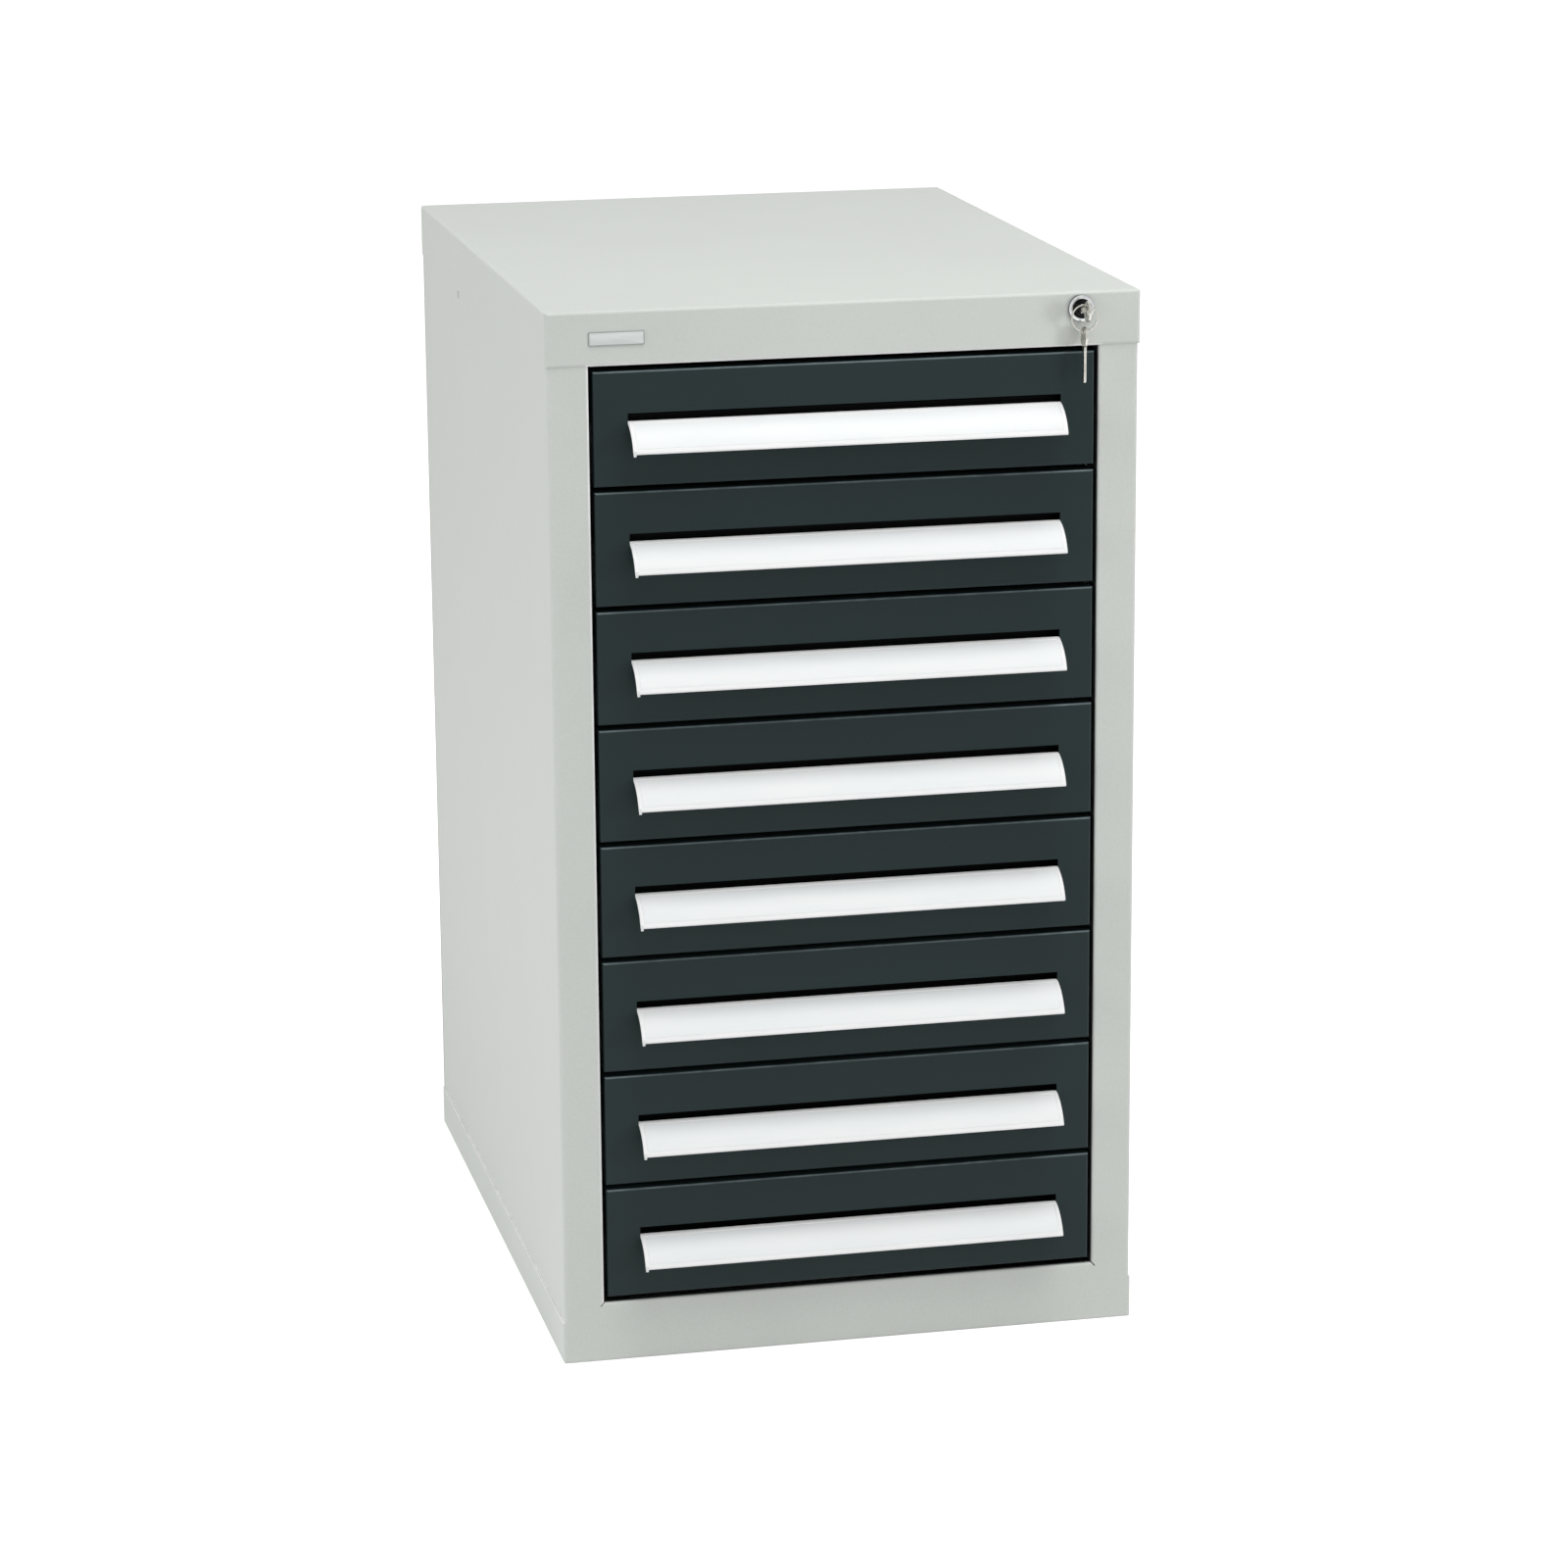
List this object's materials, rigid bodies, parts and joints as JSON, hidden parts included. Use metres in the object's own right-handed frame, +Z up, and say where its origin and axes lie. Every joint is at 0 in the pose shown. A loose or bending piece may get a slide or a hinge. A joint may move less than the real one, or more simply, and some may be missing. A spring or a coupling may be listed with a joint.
{
  "type": "microscope slide cabinet",
  "caption": "Upright steel cabinet with full-extension slide drawers behind flush fronts, long bar grips and a central key lock.",
  "frame": {"origin": "middle of the underside of the plinth", "axes": "+X to the viewer's right, -Y out of the drawer fronts, +Z up"},
  "size_m": [0.433, 0.6176, 0.78],
  "materials": {
    "light_grey_powder_coat": "fine textured powder coat, light grey",
    "anthracite_powder_coat": "fine textured powder coat, anthracite",
    "white_grip": "moulded, satin gloss white",
    "zinc_steel": "bright zinc plated",
    "lock_chrome": "polished chrome",
    "key_nickel": "nickel plated, lightly worn",
    "badge_plastic": "blank moulded plate",
    "cap_plastic": "moulded cap, light grey"
  },
  "bodies": {
    "cabinet": {"top_cover": "light_grey_powder_coat", "left_side_panel": "light_grey_powder_coat", "right_side_panel": "light_grey_powder_coat", "back_panel": "light_grey_powder_coat", "base_plinth": "light_grey_powder_coat", "bottom_rail": "light_grey_powder_coat", "runner_uprights": "zinc_steel", "cabinet_runners": "zinc_steel", "back_panel_screws": "zinc_steel", "side_hole_plugs": "cap_plastic", "badge_plate": "badge_plastic", "lock_housing": "lock_chrome", "lock_nut": "zinc_steel", "lock_bar_guides": "zinc_steel"},
    "drawer_1": {"drawer_front_1": "anthracite_powder_coat", "drawer_tray_1": "anthracite_powder_coat", "drawer_grip_1": "white_grip", "runner_inner_1": "zinc_steel"},
    "runner_1": {"runner_middle_1": "zinc_steel"},
    "drawer_2": {"drawer_front_2": "anthracite_powder_coat", "drawer_tray_2": "anthracite_powder_coat", "drawer_grip_2": "white_grip", "runner_inner_2": "zinc_steel"},
    "runner_2": {"runner_middle_2": "zinc_steel"},
    "drawer_3": {"drawer_front_3": "anthracite_powder_coat", "drawer_tray_3": "anthracite_powder_coat", "drawer_grip_3": "white_grip", "runner_inner_3": "zinc_steel"},
    "runner_3": {"runner_middle_3": "zinc_steel"},
    "drawer_4": {"drawer_front_4": "anthracite_powder_coat", "drawer_tray_4": "anthracite_powder_coat", "drawer_grip_4": "white_grip", "runner_inner_4": "zinc_steel"},
    "runner_4": {"runner_middle_4": "zinc_steel"},
    "drawer_5": {"drawer_front_5": "anthracite_powder_coat", "drawer_tray_5": "anthracite_powder_coat", "drawer_grip_5": "white_grip", "runner_inner_5": "zinc_steel"},
    "runner_5": {"runner_middle_5": "zinc_steel"},
    "drawer_6": {"drawer_front_6": "anthracite_powder_coat", "drawer_tray_6": "anthracite_powder_coat", "drawer_grip_6": "white_grip", "runner_inner_6": "zinc_steel"},
    "runner_6": {"runner_middle_6": "zinc_steel"},
    "drawer_7": {"drawer_front_7": "anthracite_powder_coat", "drawer_tray_7": "anthracite_powder_coat", "drawer_grip_7": "white_grip", "runner_inner_7": "zinc_steel"},
    "runner_7": {"runner_middle_7": "zinc_steel"},
    "drawer_8": {"drawer_front_8": "anthracite_powder_coat", "drawer_tray_8": "anthracite_powder_coat", "drawer_grip_8": "white_grip", "runner_inner_8": "zinc_steel"},
    "runner_8": {"runner_middle_8": "zinc_steel"},
    "lock_cylinder": {"lock_plug": "lock_chrome", "lock_crank": "zinc_steel", "cabinet_key": "key_nickel"},
    "lock_rod": {"lock_bar": "zinc_steel"},
    "ring": {"key_ring": "key_nickel"},
    "hanging_key": {"spare_key": "key_nickel"}
  },
  "joints": [
    {"name": "drawer_1_slide", "type": "slide", "parent": "cabinet", "child": "drawer_1", "axis": [0, -1, 0], "range_m": [0, 0.45]},
    {"name": "runner_1_slide", "type": "slide", "parent": "cabinet", "child": "runner_1", "axis": [0, -1, 0], "range_m": [0, 0.225]},
    {"name": "drawer_2_slide", "type": "slide", "parent": "cabinet", "child": "drawer_2", "axis": [0, -1, 0], "range_m": [0, 0.45]},
    {"name": "runner_2_slide", "type": "slide", "parent": "cabinet", "child": "runner_2", "axis": [0, -1, 0], "range_m": [0, 0.225]},
    {"name": "drawer_3_slide", "type": "slide", "parent": "cabinet", "child": "drawer_3", "axis": [0, -1, 0], "range_m": [0, 0.45]},
    {"name": "runner_3_slide", "type": "slide", "parent": "cabinet", "child": "runner_3", "axis": [0, -1, 0], "range_m": [0, 0.225]},
    {"name": "drawer_4_slide", "type": "slide", "parent": "cabinet", "child": "drawer_4", "axis": [0, -1, 0], "range_m": [0, 0.45]},
    {"name": "runner_4_slide", "type": "slide", "parent": "cabinet", "child": "runner_4", "axis": [0, -1, 0], "range_m": [0, 0.225]},
    {"name": "drawer_5_slide", "type": "slide", "parent": "cabinet", "child": "drawer_5", "axis": [0, -1, 0], "range_m": [0, 0.45]},
    {"name": "runner_5_slide", "type": "slide", "parent": "cabinet", "child": "runner_5", "axis": [0, -1, 0], "range_m": [0, 0.225]},
    {"name": "drawer_6_slide", "type": "slide", "parent": "cabinet", "child": "drawer_6", "axis": [0, -1, 0], "range_m": [0, 0.45]},
    {"name": "runner_6_slide", "type": "slide", "parent": "cabinet", "child": "runner_6", "axis": [0, -1, 0], "range_m": [0, 0.225]},
    {"name": "drawer_7_slide", "type": "slide", "parent": "cabinet", "child": "drawer_7", "axis": [0, -1, 0], "range_m": [0, 0.45]},
    {"name": "runner_7_slide", "type": "slide", "parent": "cabinet", "child": "runner_7", "axis": [0, -1, 0], "range_m": [0, 0.225]},
    {"name": "drawer_8_slide", "type": "slide", "parent": "cabinet", "child": "drawer_8", "axis": [0, -1, 0], "range_m": [0, 0.45]},
    {"name": "runner_8_slide", "type": "slide", "parent": "cabinet", "child": "runner_8", "axis": [0, -1, 0], "range_m": [0, 0.225]},
    {"name": "lock_rod_lift", "type": "slide", "parent": "cabinet", "child": "lock_rod", "axis": [0, 0, 1], "range_m": [0, 0.0099]},
    {"name": "key_turn", "type": "hinge", "parent": "cabinet", "child": "lock_cylinder", "pos_m": [0.172, -0.295, 0.768], "axis": [0, 1, 0], "range_deg": [0, 90]},
    {"name": "ring_swing", "type": "hinge", "parent": "cabinet", "child": "ring", "pos_m": [0.172, -0.3046, 0.7716], "axis": [-1, 0, 0], "range_deg": [-3, 15]},
    {"name": "spare_key_swing", "type": "hinge", "parent": "ring", "child": "hanging_key", "pos_m": [0.172, -0.3046, 0.7528], "axis": [-1, 0, 0], "range_deg": [-3, 45]}
  ],
  "couplings": [
    {"joint": "runner_1_slide", "follows": "drawer_1_slide", "ratio": 0.5},
    {"joint": "runner_2_slide", "follows": "drawer_2_slide", "ratio": 0.5},
    {"joint": "runner_3_slide", "follows": "drawer_3_slide", "ratio": 0.5},
    {"joint": "runner_4_slide", "follows": "drawer_4_slide", "ratio": 0.5},
    {"joint": "runner_5_slide", "follows": "drawer_5_slide", "ratio": 0.5},
    {"joint": "runner_6_slide", "follows": "drawer_6_slide", "ratio": 0.5},
    {"joint": "runner_7_slide", "follows": "drawer_7_slide", "ratio": 0.5},
    {"joint": "runner_8_slide", "follows": "drawer_8_slide", "ratio": 0.5},
    {"joint": "key_turn", "follows": "lock_rod_lift", "rad_per_m": 158.63}
  ]
}
